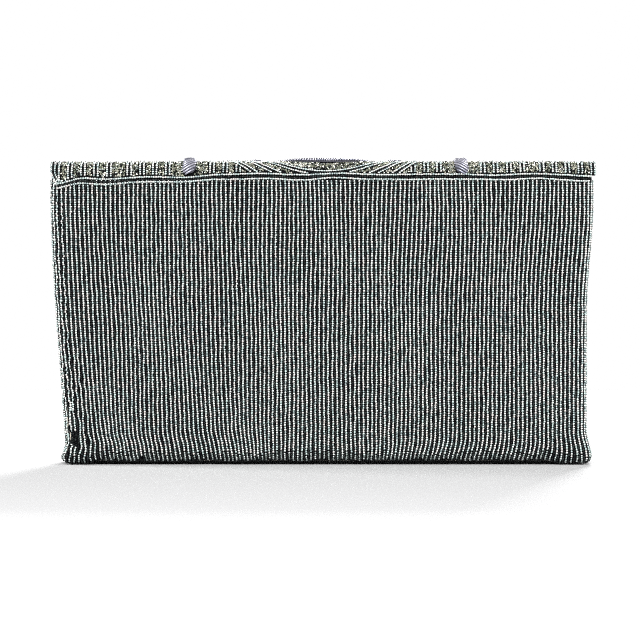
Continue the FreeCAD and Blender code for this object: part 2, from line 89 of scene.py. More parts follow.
BEAD = 1.02 * MM  # width of a seed bead
BEAD_PITCH = 1.07 * MM  # along its string
COLUMN = 1.008 * MM  # from one column of the walls to the next
EDGE_ROUND = 4 * MM  # the walls turn in to the gussets
GUSSET_FOLD = 9 * MM  # how far the sides fold in
MOTIF = 50 * MM  # centre of the flap's circles, along the flap from the seam
OFF_CENTRE = -1.1 * MM  # the whole pattern is sewn a little to one side
RING = 38 * MM  # radius of the raised ring
SWAG = 62 * MM  # radius of the raised swag, and half the distance between its ends
BAND_HALF = 2.9 * MM  # half the width of both
BAND_HEIGHT = 1.4 * MM
PURL_PITCH = 1.16 * MM  # along a band
PAIR_PITCH = 5.93 * MM  # from one pair of silver strings to the next
PAIR_GAP = 0.87 * MM  # half the distance between the two strings of a pair
# groups of pairs to each side of the middle: (place of the first, how many)
PAIR_GROUPS = ((4.3 * MM, 9), (57.9 * MM, 2), (71.8 * MM, 4), (98.7 * MM, 5))
CIRCLES = (47.4 * MM, 52.3 * MM, 57.2 * MM)  # each a pair
SWAG_START = 1.6 * MM  # along the flap
SOCKET = 7.4 * MM  # radius that the snap's socket leaves free of beads
CREASE = 118.8 * MM  # across, of the small fold by one foot, its shade painted with dark beads
SHORTEST = 6  # samples: a shorter part of a path gets no beads
FLAP_BOW = 13 * MM  # how far the flap's lower edge rises to its corners
PIECE_LIMIT = 180_000  # triangles in one piece

# -------- materials


def new_material(name, colour, metallic=0.0, roughness=0.5, coat=0.0, gloss=0.5):
    material = bpy.data.materials.new(name)
    material.use_nodes = True
    shader = material.node_tree.nodes["Principled BSDF"]
    shader.inputs["Base Color"].default_value = (*colour, 1.0)
    shader.inputs["Metallic"].default_value = metallic
    shader.inputs["Roughness"].default_value = roughness
    shader.inputs["Specular IOR Level"].default_value = gloss
    shader.inputs["Coat Weight"].default_value = coat
    shader.inputs["Coat Roughness"].default_value = 0.12
    return material


def tones(name, colours, **finish):
    """One glass or metal finish in several colours, so that neighbours differ."""
    return [new_material(f"{name}_{i}", c, **finish) for i, c in enumerate(colours)]


def add_node(tree, kind, **values):
    node = tree.nodes.new(kind)
    for name, value in values.items():
        node.inputs[name.replace("_", " ")].default_value = value
    return node


def colour_ramp(tree, *stops):
    """A ramp between two stops, each (position, colour)."""
    ramp = tree.nodes.new("ShaderNodeValToRGB")
    for element, (position, colour) in zip(ramp.color_ramp.elements, stops):
        element.position, element.color = position, (*colour, 1)
    return ramp


def textured(name, dark, light, scale, roughness, bump, stretch=(1, 1, 1), fine=None):
    """Cloth, board or metal: two noises mottle the colour, and the finer one is its
    relief."""
    material = new_material(name, light, roughness=roughness, gloss=0.25)
    tree = material.node_tree
    link = tree.links.new
    shader = tree.nodes["Principled BSDF"]
    place = tree.nodes.new("ShaderNodeTexCoord")
    mapping = tree.nodes.new("ShaderNodeMapping")
    mapping.inputs["Scale"].default_value = stretch
    link(place.outputs["Object"], mapping.inputs["Vector"])
    coarse = add_node(tree, "ShaderNodeTexNoise", Scale=scale, Detail=3.0)
    detail = add_node(tree, "ShaderNodeTexNoise", Scale=fine or scale * 14, Detail=4.0)
    for noise in (coarse, detail):
        link(mapping.outputs["Vector"], noise.inputs["Vector"])
    both = tree.nodes.new("ShaderNodeMath")
    both.operation = "MULTIPLY_ADD"
    both.inputs[1].default_value = 0.5
    link(coarse.outputs["Fac"], both.inputs[0])
    halved = tree.nodes.new("ShaderNodeMath")
    halved.operation = "MULTIPLY"
    halved.inputs[1].default_value = 0.5
    link(detail.outputs["Fac"], halved.inputs[0])
    link(halved.outputs[0], both.inputs[2])
    ramp = colour_ramp(tree, (0.32, dark), (0.68, light))
    link(both.outputs[0], ramp.inputs["Fac"])
    link(ramp.outputs["Color"], shader.inputs["Base Color"])
    relief = add_node(tree, "ShaderNodeBump", Strength=bump, Distance=0.0002)
    link(detail.outputs["Fac"], relief.inputs["Height"])
    link(relief.outputs["Normal"], shader.inputs["Normal"])
    return material


SILVER = tones(
    "silver_bead",
    ((0.52, 0.55, 0.53), (0.41, 0.49, 0.47), (0.54, 0.52, 0.50), (0.26, 0.31, 0.31)),
    metallic=0.85,
    roughness=0.42,
)
# darker silver for the back's foot: painted shade where the wall turns under, with some dirt
SHADE_AND_DIRT_SILVER = tones(
    "shade_and_dirt_silver_bead",
    ((0.36, 0.39, 0.38), (0.27, 0.31, 0.30), (0.18, 0.21, 0.20)),
    metallic=0.85,
    roughness=0.46,
)
DARK = tones(
    "gunmetal_bead",
    ((0.006, 0.007, 0.007), (0.014, 0.017, 0.017), (0.003, 0.003, 0.004)),
    metallic=0.0,
    roughness=0.14,
    gloss=0.08,
)
CRYSTAL = tones(
    "crystal",
    (
        (0.30, 0.30, 0.235),
        (0.18, 0.20, 0.15),
        (0.62, 0.61, 0.53),
        (0.018, 0.021, 0.018),
        (0.38, 0.42, 0.39),
    ),
    metallic=0.6,
    roughness=0.14,
    coat=0.6,
)
LILAC = tones(
    "lilac_purl",
    ((0.24, 0.24, 0.285), (0.31, 0.305, 0.35), (0.18, 0.185, 0.23)),
    metallic=0.6,
    roughness=0.36,
)
CLOTH = textured("bead_cloth", (0.001, 0.001, 0.001), (0.006, 0.006, 0.007), 90, 0.9, 0.7)
PADDING = textured("band_padding", (0.02, 0.02, 0.026), (0.06, 0.06, 0.075), 260, 0.8, 0.8)
SATIN = textured(
    "satin", (0.10, 0.10, 0.105), (0.17, 0.17, 0.18), 22, 0.4, 0.35, (1, 1, 0.25), 900
)
RIBBON = textured(
    "ribbon", (0.012, 0.012, 0.013), (0.05, 0.05, 0.055), 60, 0.55, 0.9, (6, 1, 0.2), 700
)
BOARD = textured("stiffener", (0.42, 0.38, 0.31), (0.66, 0.61, 0.52), 120, 0.85, 0.5)
NICKEL = textured("nickel", (0.50, 0.49, 0.47), (0.62, 0.61, 0.59), 300, 0.24, 0.12)
FERRITE = textured("ferrite", (0.05, 0.05, 0.05), (0.13, 0.13, 0.13), 500, 0.6, 0.4)
for material, name, value in (
    (CLOTH, "Specular IOR Level", 0.03),
    (NICKEL, "Metallic", 1.0),
    (SATIN, "Sheen Weight", 0.4),
):
    material.node_tree.nodes["Principled BSDF"].inputs[name].default_value = value

# -------- sheets


class Profile:
    """A path in the YZ plane made of parts (length, turn), with its outward normal.
    side is 1 where the outside is on the left of the path, and -1 on the right."""

    def __init__(self, y, z, heading, parts, side):
        self.side = side
        starts = []
        at = 0.0
        for length, turn in parts:
            starts.append((at, y, z, heading, turn / length))
            dy, dz = self._reach(length, heading, turn / length)
            y, z, heading, at = y + dy, z + dz, heading + turn, at + length
        self.length = at
        self.table = np.array(starts)

    @staticmethod
    def _reach(run, heading, curl):
        """How far a part of constant curl goes in a run, as (dy, dz)."""
        half = np.asarray(curl * run / 2)
        chord = run * np.sinc(half / np.pi)
        return chord * np.cos(heading + half), chord * np.sin(heading + half)

    def at(self, along):
        along = np.asarray(along, float)
        part = np.searchsorted(self.table[:, 0], along, side="right") - 1
        start, y, z, heading, curl = self.table[np.clip(part, 0, None)].T
        run = along - start
        dy, dz = self._reach(run, heading, curl)
        angle = heading + curl * run
        return y + dy, z + dz, -np.sin(angle) * self.side, np.cos(angle) * self.side


def front_face(z):
    """Where the front wall's outer face is, along Y, at a height."""
    return base_low.y + (z - CORNER) * math.tan(LEAN)


BASE_RUN = BACK - front_face(CORNER) - 2 * CORNER
DOWN = SEAM - CORNER
WALLS = Profile(
    BACK,
    SEAM,
    -math.pi / 2,
    (
        (DOWN, 0),
        (CORNER * math.pi / 2, -math.pi / 2),
        (BASE_RUN, 0),
        (CORNER * (math.pi / 2 + LEAN), -math.pi / 2 - LEAN),
        ((MOUTH - CORNER) / math.cos(LEAN), 0),
    ),
    side=1,
)
FLAP = Profile(
    BACK,
    SEAM,
    math.pi / 2,
    (
        (FOLD - SEAM, 0),
        (FOLD_ROUND * math.pi / 2, math.pi / 2),
        (BACK - FLAP_FRONT - 2 * FOLD_ROUND, 0),
        (FOLD_ROUND * (math.pi / 2 - LEAN), math.pi / 2 - LEAN),
        ((FOLD - flap_low.z) / math.cos(LEAN), 0),
    ),
    side=-1,
)
snap_low, snap_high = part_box("snap_cup")
SNAP = WALLS.length - (MOUTH - (snap_low.z + snap_high.z) / 2) / math.cos(LEAN)


def stack(*parts):
    """Points, or paths, from their coordinates."""
    return np.stack(parts, -1)


def smooth(low, high, value):
    """A soft step from 0 at low to 1 at high."""
    t = np.clip((value - low) / (high - low), 0, 1)
    return t * t * (3 - 2 * t)


def ripple(across, along, reach, seed):
    """Smooth unevenness between about -1 and 1, on the scale of reach."""
    waves = np.random.default_rng(seed)
    total = 0.0
    for _ in range(6):
        angle, phase = waves.uniform(0, 2 * np.pi, 2)
        size = 2 * np.pi / (reach * waves.uniform(0.7, 1.8))
        turned = across * np.cos(angle) + along * np.sin(angle)
        total = total + np.sin(turned * size + phase)
    return total / 3


def wall_half(z, side):
    """From the middle to one side: wide at the mouth, drawn in, flared at the foot.
    The bag has slumped a little, so its two sides differ."""
    left = -6.9 + 7.8 * smooth(-0.03, 0.13, z) + 2.2 * (1 - smooth(0.002, 0.010, z))
    right = -3.2 + 2.9 * smooth(0.07, 0.12, z) + 2.4 * (1 - smooth(0.003, 0.016, z))
    return WALL_HALF + np.where(side > 0, left, right) * MM


WALL_SPAN = WALL_HALF + EDGE_ROUND * (math.pi / 2 - 1)


def tuck(x, z, along):
    """How far a small crease by one foot of the back wall goes in."""
    width, length, depth = 1.7 * MM, 4 * MM, 0.6 * MM
    right, up = x - 114.0 * MM, z - 12.0 * MM
    down_crease, over_crease = 0.77 * up + 0.64 * right, 0.77 * right - 0.64 * up
    crease = np.exp(-((over_crease / width) ** 2) - (down_crease / length) ** 2)
    return depth * crease * (along < DOWN)


def wall_sheet(across, along, lift=0.0):
    """The back, base and front as one cloth, from the seam down and up to the mouth.
    Its sides turn in to the gussets, and its foot is arched between two ears."""
    y, z, normal_y, normal_z = WALLS.at(along)
    half = wall_half(z, np.sign(across))
    span = across * (half + EDGE_ROUND * (math.pi / 2 - 1)) / WALL_SPAN
    side, flat = np.sign(span), half - EDGE_ROUND
    turn = np.clip((np.abs(span) - flat) / EDGE_ROUND, 0, math.pi / 2)
    x = side * (np.minimum(np.abs(span), flat) + EDGE_ROUND * np.sin(turn))
    inward = EDGE_ROUND * (1 - np.cos(turn))
    uneven = 1.15 * MM + 0.28 * MM * ripple(x, 0 * x, 0.016, 13)
    arch = uneven * (1 - smooth(0.102, 0.109, np.abs(x))) * (1 - smooth(0, 0.03, z))
    under = (along - DOWN - CORNER * math.pi / 2) / BASE_RUN
    arch = arch * (1 - smooth(0.0, 0.2, under) * (1 - smooth(0.8, 1.0, under)))
    sag = 0.22 * MM * ripple(x, z, 0.05, 11) * smooth(0.0, 0.03, z)
    normal = stack(side * np.sin(turn), normal_y * np.cos(turn), normal_z * np.cos(turn))
    depth = -inward + sag - tuck(x, z, along)
    point = stack(x, y + normal_y * depth, z + normal_z * depth + arch)
    return point + normal * np.asarray(lift)[..., None], normal


def flap_half(z):
    """Half the flap's width: straight over the fold, drawn in down the front."""
    down = np.clip((FOLD - z) / (FOLD - flap_low.z), 0, 1)
    return FLAP_HALF - 0.2 * MM - 3.4 * MM * down + 1.0 * MM * down**2


def flap_sheet(across, along, lift=0.0):
    """The flap, from the seam up, over the mouth and down the front."""
    y, z, normal_y, normal_z = FLAP.at(along)
    outer = np.clip((np.abs(across) - 0.095) / (FLAP_HALF - 0.095), 0, 1)
    x = across - np.sign(across) * outer * (FLAP_HALF - flap_half(z))
    # between its two folds the top sinks a little
    dip = np.sin(np.pi * np.clip((along - 8.5 * MM) / (23 * MM), 0, 1)) ** 2
    sag = 0.15 * MM * ripple(x, along, 0.06, 23) - 1.45 * MM * dip
    normal = stack(np.zeros_like(x + y), normal_y + 0 * x, normal_z + 0 * x)
    point = stack(x + 0 * y, y + normal_y * sag, z + normal_z * sag)
    return point + normal * np.asarray(lift)[..., None], normal


def motif_sheet(across, along, lift=0.0):
    """The flap, with across measured from the middle of the pattern."""
    return flap_sheet(across + OFF_CENTRE, along, lift)


def gusset_sheet(side):
    """A side of the bag, folded inwards; across runs from 0 at the back wall to 1 at
    the front.  The fold opens towards the foot, where the side meets the base."""

    def sheet(across, along, lift=0.0):
        z = along
        edge = wall_half(z, side) - 1.2 * MM
        back = BACK - EDGE_ROUND
        front = front_face(z) + EDGE_ROUND
        share = np.clip(across, 0, 1)
        from_fold = np.abs(2 * share - 1)
        depth = GUSSET_FOLD * smooth(3 * MM, 32 * MM, z)
        x = side * (edge - depth * (1 - from_fold**1.3))
        y = back + (front - back) * share
        lean = np.sign(0.5 - share) * (1 - np.exp(-from_fold * 6)) * 0.62
        normal = stack(side * np.sqrt(1 - lean**2), -lean, 0 * y)
        point = stack(x, y, z + 0 * y)
        return point + normal * np.asarray(lift)[..., None], normal

    return sheet


# -------- mesh


def make_object(name, points, faces, materials, slots, flat=False, creased=None):
    """faces is a list of arrays, each of faces with the same number of corners, and
    slots holds their materials.  Edges between two creased points stay sharp."""
    mesh = bpy.data.meshes.new(name)
    mesh.vertices.add(len(points))
    mesh.vertices.foreach_set("co", np.asarray(points, np.float32).ravel())
    corners = np.concatenate([f.ravel() for f in faces])
    sizes = np.concatenate([np.full(len(f), f.shape[1]) for f in faces])
    mesh.loops.add(len(corners))
    mesh.loops.foreach_set("vertex_index", corners.astype(np.int32))
    mesh.polygons.add(len(sizes))
    starts = np.concatenate([[0], np.cumsum(sizes)[:-1]])
    mesh.polygons.foreach_set("loop_start", starts.astype(np.int32))
    mesh.polygons.foreach_set("material_index", np.concatenate(slots).astype(np.int32))
    mesh.polygons.foreach_set("use_smooth", np.full(len(sizes), not flat))
    for material in materials:
        mesh.materials.append(material)
    mesh.update(calc_edges=True)
    if creased is not None:
        ends = np.empty(2 * len(mesh.edges), np.int32)
        mesh.edges.foreach_get("vertices", ends)
        sharp = mesh.attributes.new("sharp_edge", "BOOLEAN", "EDGE")
        sharp.data.foreach_set("value", creased[ends].reshape(-1, 2).all(axis=1))
    piece = bpy.data.objects.new(name, mesh)
    bpy.context.scene.collection.objects.link(piece)
    return piece


def tube_faces(rings, sides, first):
    """The quads round a tube of rings, and its two end caps."""
    ring = np.arange(rings - 1)[:, None] * sides
    turn = np.arange(sides)[None, :]
    after = (turn + 1) % sides
    quads = stack(ring + turn, ring + sides + turn, ring + sides + after, ring + after)
    last = (rings - 1) * sides
    caps = np.stack([np.arange(sides), last + np.arange(sides)[::-1]])
    return quads.reshape(-1, 4) + first, caps + first


def merge_tubes(name, tubes, materials, creased=None):
    """One object of tubes, each (rings of points, slots of its quads, of its caps)."""
    points, quads, caps, quad_slots, cap_slots, first = [], [], [], [], [], 0
    for rings, quad_slot, cap_slot in tubes:
        quad, cap = tube_faces(*rings.shape[:2], first)
        points.append(rings.reshape(-1, 3))
        quads.append(quad)
        caps.append(cap)
        quad_slots.append(np.broadcast_to(quad_slot, len(quad)))
        cap_slots.append(np.broadcast_to(cap_slot, len(cap)))
        first += len(points[-1])
    faces = [np.concatenate(quads), np.concatenate(caps)]
    slots = [np.concatenate(quad_slots), np.concatenate(cap_slots)]
    return make_object(name, np.concatenate(points), faces, materials, slots, creased=creased)


def loft(name, sections, material):
    """A solid through closed sections, each with the same number of points."""
    return merge_tubes(name, [(np.asarray(sections), 0, 0)], [material])


SECTION = np.radians([0, 60, 120, 180, 270])  # a dome, with a keel in the cloth
BEAD_RINGS = ((0.0, 0.46), (0.25, 1.0), (0.75, 1.0))  # (place, share of the radius)
TONE_WEIGHTS = (5, 3, 3, 2)  # how often a thread's tones come up


def frame_along(point, normal):
    """Unit vectors along a line of points and across it, in the sheet."""
    tangent = np.gradient(point, axis=0)
    tangent /= np.linalg.norm(tangent, axis=1, keepdims=True) + 1e-12
    side = np.cross(tangent, normal)
    side /= np.linalg.norm(side, axis=1, keepdims=True) + 1e-12
    return tangent, side


def rings_round(point, side, rise, angles, radius):
    """A ring of points round each point of a line."""
    ring = np.cos(angles)[:, None] * side[:, None] + np.sin(angles)[:, None] * rise[:, None]
    return point[:, None] + ring * radius[:, None, None]


class Thread:
    """How a string is beaded: its tones, bead size and how high it stands."""

    def __init__(self, materials, width=BEAD, lift=-0.45 * MM, loose=1.0):
        self.materials, self.width, self.lift, self.loose = materials, width, lift, loose


def string_rings(sheet, path, thread):
    """Ring points of one string of beads sewn along a path of (across, along)."""
    dense, _ = sheet(path[:, 0], path[:, 1])
    steps = np.linalg.norm(np.diff(dense, axis=0), axis=1)
    run = np.concatenate([[0], np.cumsum(steps)])
    count = max(int(round(run[-1] / BEAD_PITCH)), 1)
    pitch = run[-1] / count
    edges = np.arange(count + 1) * pitch
    edges[1:-1] += rng.normal(0, 0.07 * pitch * thread.loose, count - 1)
    lengths = np.diff(edges)
    stations = np.concatenate([edges[:-1] + place * lengths for place, _ in BEAD_RINGS])
    stations = np.append(stations.reshape(len(BEAD_RINGS), count).T.ravel(), edges[-1])
    bead = np.append(np.repeat(np.arange(count), len(BEAD_RINGS)), count - 1)
    share = np.append(np.tile([s for _, s in BEAD_RINGS], count), BEAD_RINGS[0][1])
    across = np.interp(stations, run, path[:, 0])
    along = np.interp(stations, run, path[:, 1])
    lifts = thread.lift + rng.normal(0, 0.04 * MM * thread.loose, count)[bead]
    point, normal = sheet(across, along, lifts)
    _, side = frame_along(point, normal)
    point = point + side * (rng.normal(0, 0.05 * MM * thread.loose, count)[bead])[:, None]
    radius = thread.width / 2 * share * rng.normal(1, 0.06 * thread.loose, count)[bead]
    return rings_round(point, side, normal, SECTION, radius), count


def sew(name, body, sheet, strings):
    """Sews strings, each (path, thread), and starts a new piece at each limit."""
    pieces, batch, triangles = [], [], 0
    sides = len(SECTION)
    for path, thread in strings:
        rings, count = string_rings(sheet, path, thread)
        batch.append((rings, count, thread))
        triangles += count * len(BEAD_RINGS) * sides * 2
        if triangles > PIECE_LIMIT:
            pieces.append(finish_strings(f"{name}_{len(pieces) + 1:02d}", body, batch))
            batch, triangles = [], 0
    if batch:
        pieces.append(finish_strings(f"{name}_{len(pieces) + 1:02d}", body, batch))
    return pieces


def finish_strings(name, body, batch):
    """One piece of many strings, each bead in one of its thread's tones."""
    sides, per_bead = len(SECTION), len(BEAD_RINGS)
    materials = []
    for _, _, thread in batch:
        materials += [m for m in thread.materials if m not in materials]
    tubes, waists = [], []
    for rings, count, thread in batch:
        weights = np.array(TONE_WEIGHTS[: len(thread.materials)], float)
        tone = rng.choice(len(thread.materials), count, p=weights / weights.sum())
        slot = np.array([materials.index(m) for m in thread.materials])[tone]
        tubes.append((rings, np.repeat(slot, per_bead * sides), slot[[0, -1]]))
        waists.append(np.repeat(np.arange(len(rings)) % per_bead == 0, sides))
    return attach(merge_tubes(name, tubes, materials, np.concatenate(waists)), body)


def slab(name, sheet, half, along, top, under, material):
    """A cloth on a sheet, half as wide as half, with rounded edges.  top and under
    are lifts, as functions of the place (across, along) or as one number."""
    corner = 0.5 * MM
    u = np.concatenate([np.linspace(-half + corner, half - corner, 75), [half - 0.12 * MM]])
    u = np.concatenate([[-half + 0.12 * MM], u])
    sections = []
    for v in along:
        place = np.full(len(u), v)
        high = top(u, place) if callable(top) else np.full(len(u), top)
        low = under(u, place) if callable(under) else np.full(len(u), under)
        middle, thick = (high + low) / 2, (high - low) / 2
        thick[[0, -1]] *= 0.6
        lift = np.concatenate([middle + thick, middle[-1:], (middle - thick)[::-1], middle[:1]])
        point = np.concatenate([u, [half], u[::-1], [-half]])
        sections.append(sheet(point, np.full(len(point), v), lift)[0])
    return loft(name, sections[::-1], material)


# -------- walls, base and sides


def wall_path(across):
    """One column's path over the walls, with the unevenness of hand sewing."""
    along = np.linspace(0.8 * MM, WALLS.length - 0.6 * MM, 900)
    sway = 0.50 * MM * ripple(np.full_like(along, across), along, 0.04, 3)
    sway += 0.13 * MM * ripple(np.full_like(along, across * 5), along, 0.011, 5)
    sway *= 1 - 0.5 * smooth(0.105, 0.118, abs(across))
    # by the creased foot the columns are out of line
    crushed = smooth(0.108, 0.114, across) * (1 - smooth(0.035, 0.065, DOWN - along))
    sway += 0.34 * MM * crushed * ripple(np.full_like(along, across * 60), along, 0.006, 6)
    # at the foot they draw towards the middle, and beside the gussets they waver
    foot, reach, most = np.abs(along - DOWN - CORNER), 8.5 * MM, 3.6 * MM
    gather = np.exp(-((foot / reach) ** 2)) * most
    part = smooth(0.010, 0.060, abs(across)) * (1 - smooth(0.104, 0.124, abs(across)))
    tight = smooth(0.108, 0.124, abs(across))
    waver = 0.13 * MM * tight * np.sin(along / (3.1 * MM) + across * 900)
    return stack(across + sway - np.sign(across) * gather * part + waver, along)


def make_walls():
    """Columns of beads, silver and dark in turn.  Under the base they are all dark beads, which
    also paint the shade under the foot.  Along the back's foot the silver is darker: painted
    shade where the wall turns under, with some dirt.  A crease, its shade painted with dark
    beads, and the snap's socket interrupt them."""
    silver, dark = Thread(SILVER, width=1.10 * MM), Thread(DARK, width=0.95 * MM, lift=-0.62 * MM)
    count = int(2 * WALL_SPAN / COLUMN)
    places = (np.arange(count) - (count - 1) / 2) * COLUMN
    crushed, shade_and_dirt = Thread(SILVER, loose=2.6), Thread(SHADE_AND_DIRT_SILVER)
    strings = []
    for i, place in enumerate(places):
        path = wall_path(place)
        if i % 2:
            strings.append((path, dark))
            continue
        turned, rising = rng.uniform(0.8, 1.2) * CORNER, rng.uniform(2.0, 2.4) * CORNER
        back, front = path[:, 1] < DOWN + turned, path[:, 1] > DOWN + BASE_RUN + rising
        # just past the start of the foot's turn the silver is darker: painted shade where the
        # wall turns under, with some dirt
        foot_shade_and_dirt = back & (path[:, 1] > DOWN + rng.uniform(-1.5, 1.5) * MM)
        outer = crushed if place > CREASE - 2.3 * MM else silver
        strings += [(path[back & ~foot_shade_and_dirt], outer), (path[foot_shade_and_dirt], shade_and_dirt)]
        # under the base the silver columns turn to dark beads: the bag's own dark beads, which
        # also paint the shade under the foot
        strings += [(path[~back & ~front], dark), (path[front], silver)]
    kept = []
    for path, thread in strings:
        across, along = path.T
        bare = np.hypot(across, along - SNAP) < SOCKET
        # dark beads in place of silver in the crease: painted shade of the fold
        crease = np.hypot((across - CREASE) / 1.5, (along - DOWN + 8 * MM) / 4) < 1 * MM
        kept += [(part, thread) for part in clipped(across, along, ~bare & ~crease)]
        kept += [(part, dark) for part in clipped(across, along, crease)]
    sew("wall_beads", "root", wall_sheet, kept)
    along = np.linspace(0.2 * MM, WALLS.length, 240)
    cloth = slab("wall_cloth", wall_sheet, WALL_SPAN, along, -0.95 * MM, -2.3 * MM, CLOTH)
    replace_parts(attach(cloth, "root"), "back_panel", "base_panel", "front_panel")


def make_gusset(side, name):
    """One side's beads, cloth and satin."""
    sheet = gusset_sheet(side)
    high = MOUTH - 1.5 * MM
    heights = np.linspace(3.5 * MM, high, 60)
    silver, dark = Thread(SILVER), Thread(DARK, lift=-0.55 * MM)
    strings, columns = [], 34
    for i in range(columns):
        sway = 0.004 * ripple(heights, heights * 0 + i, 0.03, i)
        path = stack((i + 0.5) / columns + sway, heights)
        strings.append((path, dark if i % 2 else silver))
    sew(f"gusset_beads_{name}", "root", sheet, strings)
    shares = np.linspace(0, 1, 41)
    for label, top, under, material, node in (
        ("cloth", -0.9 * MM, -1.7 * MM, CLOTH, "gusset"),
        ("satin", -1.72 * MM, -2.3 * MM, SATIN, "gusset_lining"),
    ):
        sections, widths = [], []
        for z in heights:
            level = np.full_like(shares, z)
            outer, _ = sheet(shares, level, top)
            inner, _ = sheet(shares[::-1], level, under)
            sections.append(np.concatenate([outer, inner]))
            widths.append(np.linalg.norm(np.diff(inner, axis=0), axis=1).sum())
        order = sections if side < 0 else sections[::-1]
        piece = loft(f"gusset_{label}_{name}", order, material)
        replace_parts(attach(piece, "root"), f"{node}_{name}")


# -------- flap


def seam_rise(across):
    """How far above the hinge the flap's first row of beads runs: it droops on one
    side, and dips at the end of the seam."""
    droop = 1.35 * smooth(0.046, 0.066, across) + 0.45 * smooth(0.082, 0.105, across)
    end = 2.7 * smooth(0.108, 0.122, across) + 0.8 * smooth(0.110, 0.123, -across)
    wave = 0.34 * ripple(across, across * 0, 0.024, 43)
    return (1.6 - droop - end + wave) * MM


def flap_edge(across):
    """How far along the flap its lower edge is: lowest in the middle."""
    return FLAP.length - FLAP_BOW * (across / FLAP_HALF) ** 2


def from_motif(across, along):
    """Distance to the centre of the circles."""
    return np.hypot(across, along - MOTIF)


def swag_distance(across, along):
    """Distance to the middle of the swag: straight rises, then a half circle."""
    short = np.clip(SWAG_START + 2.6 * MM - along, 0, None)
    straight = np.hypot(np.abs(across) - SWAG, short)
    return np.where(along < MOTIF, straight, np.abs(from_motif(across, along) - SWAG))


def inside_swag(across, along):
    return (np.abs(across) < SWAG) & ((along < MOTIF) | (from_motif(across, along) < SWAG))


def pair_places():
    places = [first + i * PAIR_PITCH for first, count in PAIR_GROUPS for i in range(count)]
    return np.array(places)


def in_pair_field(across, along):
    """Where the straight pairs run: clear of the bands and of the outer circle."""
    clear = swag_distance(across, along) > BAND_HALF + 0.9 * MM
    beside_knob = (along < MOTIF) & (np.abs(np.abs(across) - SWAG) < 8.2 * MM)
    outside = from_motif(across, along) > CIRCLES[-1] + PAIR_GAP + 0.9 * MM
    hidden = inside_swag(across, along) & (along > MOTIF)
    return clear & outside & ~beside_knob & ~hidden


def runs_of(mask):
    """Start and end of each unbroken run of True that is long enough for beads."""
    change = np.flatnonzero(np.diff(np.concatenate([[False], mask, [False]]).astype(int)))
    return [(a, b) for a, b in zip(change[::2], change[1::2]) if b - a > SHORTEST]


def clipped(across, along, keep):
    """The parts of a path where keep holds, each as its own path."""
    return [stack(across[a:b], along[a:b]) for a, b in runs_of(keep)]


def within_flap(across, along, gap):
    """Whether a place of the pattern is on the flap, clear of the rows at its edges."""
    place = across + OFF_CENTRE
    above = along > seam_rise(place) + gap
    return above & (along < flap_edge(place) - 3.7 * MM) & (np.abs(place) < FLAP_HALF - 3.0 * MM)


def flap_strings():
    """The straight pairs, the circles and the rays, as (path, thread)."""
    silver = Thread(SILVER, width=1.12 * MM, lift=-0.32 * MM)
    dark = Thread(DARK, lift=-0.5 * MM)
    strings = []
    along = np.linspace(-2 * MM, FLAP.length, 700)
    for place in pair_places():
        for side in (-1, 1):
            for offset in (-PAIR_GAP, 0.0, PAIR_GAP):
                sway = 0.16 * MM * ripple(np.full_like(along, place), along, 0.03, 31)
                across = np.full_like(along, side * (place + offset)) + sway
                keep = in_pair_field(across, along) & within_flap(across, along, 0.9 * MM)
                thread = silver if offset else Thread(DARK, 0.7 * MM, lift=-0.75 * MM)
                strings += [(path, thread) for path in clipped(across, along, keep)]
    turn = np.linspace(0, 2 * np.pi, 1500)
    for radius, thread in circle_rows(silver, dark):
        across, along = radius * np.sin(turn), MOTIF - radius * np.cos(turn)
        keep = within_flap(across, along, 0.85 * MM)
        if radius > BAND_HALF + RING:
            keep &= swag_distance(across, along) > BAND_HALF + 0.6 * MM
        strings += [(path, thread) for path in clipped(across, along, keep)]
    return strings + ray_strings(silver, dark)


def circle_rows(silver, dark):
    """Pairs of circles round the ring, each with a dark row between, and those inside."""
    rows = [(r + side * PAIR_GAP, silver) for r in CIRCLES for side in (-1, 1)]
    rows += [(r, Thread(DARK, 0.7 * MM, lift=-0.75 * MM)) for r in CIRCLES]
    rows += [(RING - BAND_HALF - 0.75 * MM, silver), (13.0 * MM, silver), (14.1 * MM, dark)]
    return rows


def ray_strings(silver, dark):
    """Rays inside the ring, silver and dark in turn."""
    strings, count = [], 72
    for i in range(count):
        angle = 2 * np.pi * i / count
        start = (15.0 if i % 2 == 0 else 21.5) * MM
        radius = np.linspace(start, RING - BAND_HALF - 1.5 * MM, 40)
        path = stack(radius * np.sin(angle), MOTIF - radius * np.cos(angle))
        strings.append((path, silver if i % 3 == 0 else dark))
    return strings


def border_strings():
    """Rows that follow the flap's side and lower edges."""
    silver, dark, strings = Thread(SILVER, lift=-0.3 * MM), Thread(DARK, lift=-0.5 * MM), []
    span = np.linspace(-FLAP_HALF + 3 * MM, FLAP_HALF - 3 * MM, 600)
    for inset, thread in ((2.1 * MM, dark), (3.0 * MM, silver)):
        strings.append((stack(span, flap_edge(span) - inset), thread))
    for side in (-1, 1):
        for inset, thread in ((0.5, silver), (1.35, dark), (2.2, silver)):
            across = side * (FLAP_HALF - inset * MM)
            end = flap_edge(across) - 1.0 * MM
            along = np.linspace(-3.0 * MM, end, 500)
            drawn = (1 - smooth(-0.004, 0.003, along)) * 2.6 * MM  # in, to the seam
            path = stack(across - side * drawn, along)
            above = along > seam_rise(path[:, 0]) + 0.5 * MM
            strings.append((path[above], thread))
    return strings


